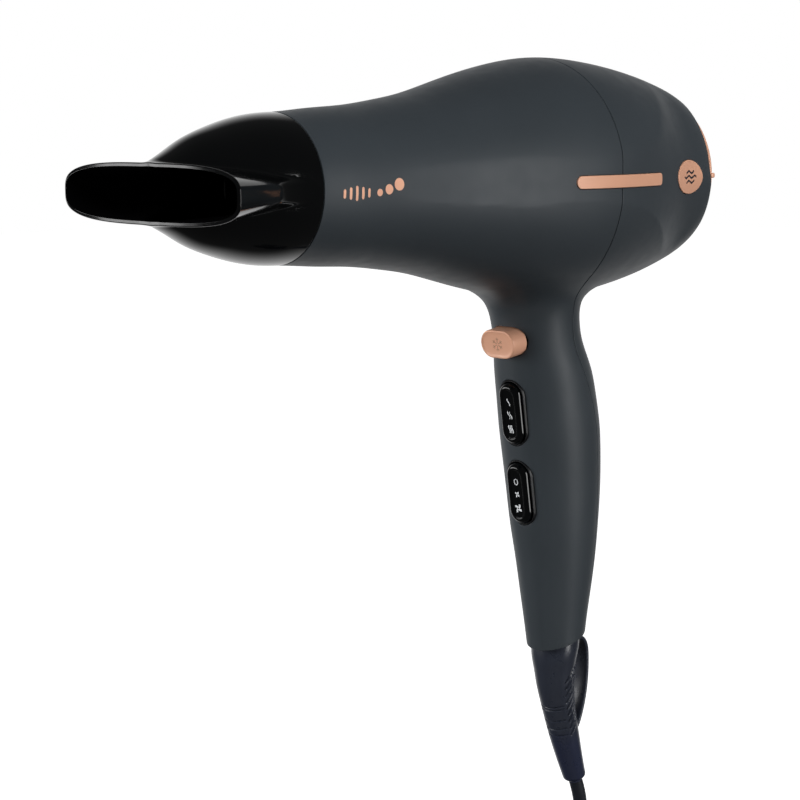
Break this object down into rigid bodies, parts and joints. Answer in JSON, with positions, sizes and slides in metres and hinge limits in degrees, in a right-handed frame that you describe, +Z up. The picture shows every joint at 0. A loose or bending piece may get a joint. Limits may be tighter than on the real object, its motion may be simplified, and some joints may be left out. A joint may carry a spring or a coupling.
{
  "type": "hair dryer",
  "caption": "Hand-held hair dryer with a turnable slot nozzle, rear intake cover, three handle controls, motor, heater and a lead with a plug.",
  "frame": {"origin": "middle of the grip, on the handle's centre line", "axes": "+X the way the air leaves, +Y the user's left, +Z up from the handle to the head"},
  "size_m": [0.2618, 0.0934, 0.4866],
  "materials": {
    "graphite_casing": "satin soft-touch",
    "gloss_black": "gloss",
    "satin_black": "satin",
    "rose_gold": "satin metallic paint",
    "black_rubber": "matte",
    "white_nylon": "satin",
    "mica": "flaky sheen",
    "copper": "satin",
    "circuit_board": "solder mask",
    "steel": "brushed"
  },
  "bodies": {
    "root": {"front_casing": "graphite_casing", "rear_casing": "graphite_casing", "side_inlay_left": "rose_gold", "side_inlay_right": "rose_gold", "side_badge_left": "rose_gold", "side_badge_right": "rose_gold", "casing_screw_1": "steel", "casing_screw_2": "steel", "outlet_grille": "satin_black", "cold_shot_spring": "steel", "cold_shot_switch": "satin_black", "heat_bezel": "satin_black", "heat_rocker_pin": "steel", "heat_switch_block": "satin_black", "speed_bezel": "satin_black", "speed_rocker_pin": "steel", "speed_switch_block": "satin_black", "motor_housing": "white_nylon", "motor_bracket": "steel", "motor_stator": "steel", "field_coil_upper": "copper", "field_coil_lower": "copper", "brush_left": "satin_black", "brush_right": "satin_black", "front_bearing": "steel", "rear_bearing": "steel", "mica_tube": "mica", "mica_board_level": "mica", "mica_board_upright": "mica", "heating_coil": "steel", "thermal_cutout": "white_nylon", "ion_generator": "satin_black", "ion_needle": "steel", "control_board": "circuit_board", "cord_tail": "black_rubber", "cord_clamp": "white_nylon", "clamp_screw_1": "steel", "clamp_screw_2": "steel", "lead_wire_left": "copper", "lead_wire_right": "copper", "strain_relief": "black_rubber", "hanging_loop": "black_rubber", "power_cord": "black_rubber", "cord_hank": "black_rubber", "plug_lead": "black_rubber", "cord_tie": "satin_black", "plug_body": "black_rubber", "plug_pin_1": "steel", "plug_pin_2": "steel"},
    "nozzle": {"concentrator_nozzle": "gloss_black"},
    "cold_shot": {"cold_shot_button": "rose_gold"},
    "heat_switch": {"heat_rocker": "gloss_black"},
    "speed_switch": {"speed_rocker": "gloss_black"},
    "intake": {"intake_ring": "rose_gold", "intake_cover": "satin_black", "filter_mesh": "steel"},
    "rotor": {"fan_impeller": "satin_black", "motor_shaft": "steel", "motor_armature": "copper", "motor_commutator": "copper"}
  },
  "joints": [
    {"name": "nozzle_turn", "type": "hinge", "parent": "root", "child": "nozzle", "pos_m": [0.146, 0, 0.1], "axis": [1, 0, 0], "continuous": true},
    {"name": "cold_shot_press", "type": "slide", "parent": "root", "child": "cold_shot", "axis": [-0.989, 0, 0.1478], "range_m": [0, 0.002], "stiffness_N_per_m": 500, "deforming": ["cold_shot_spring"]},
    {"name": "heat_rock", "type": "hinge", "parent": "root", "child": "heat_switch", "pos_m": [0.02032, 0, 0.0088], "axis": [0, 1, 0], "range_deg": [-7, 7]},
    {"name": "speed_rock", "type": "hinge", "parent": "root", "child": "speed_switch", "pos_m": [0.01572, 0, -0.0235], "axis": [0, 1, 0], "range_deg": [-7, 7]},
    {"name": "intake_twist", "type": "hinge", "parent": "root", "child": "intake", "pos_m": [-0.059, 0, 0.1], "axis": [1, 0, 0], "range_deg": [0, 20]},
    {"name": "fan_spin", "type": "hinge", "parent": "root", "child": "rotor", "pos_m": [0, 0, 0.1], "axis": [1, 0, 0], "continuous": true}
  ]
}
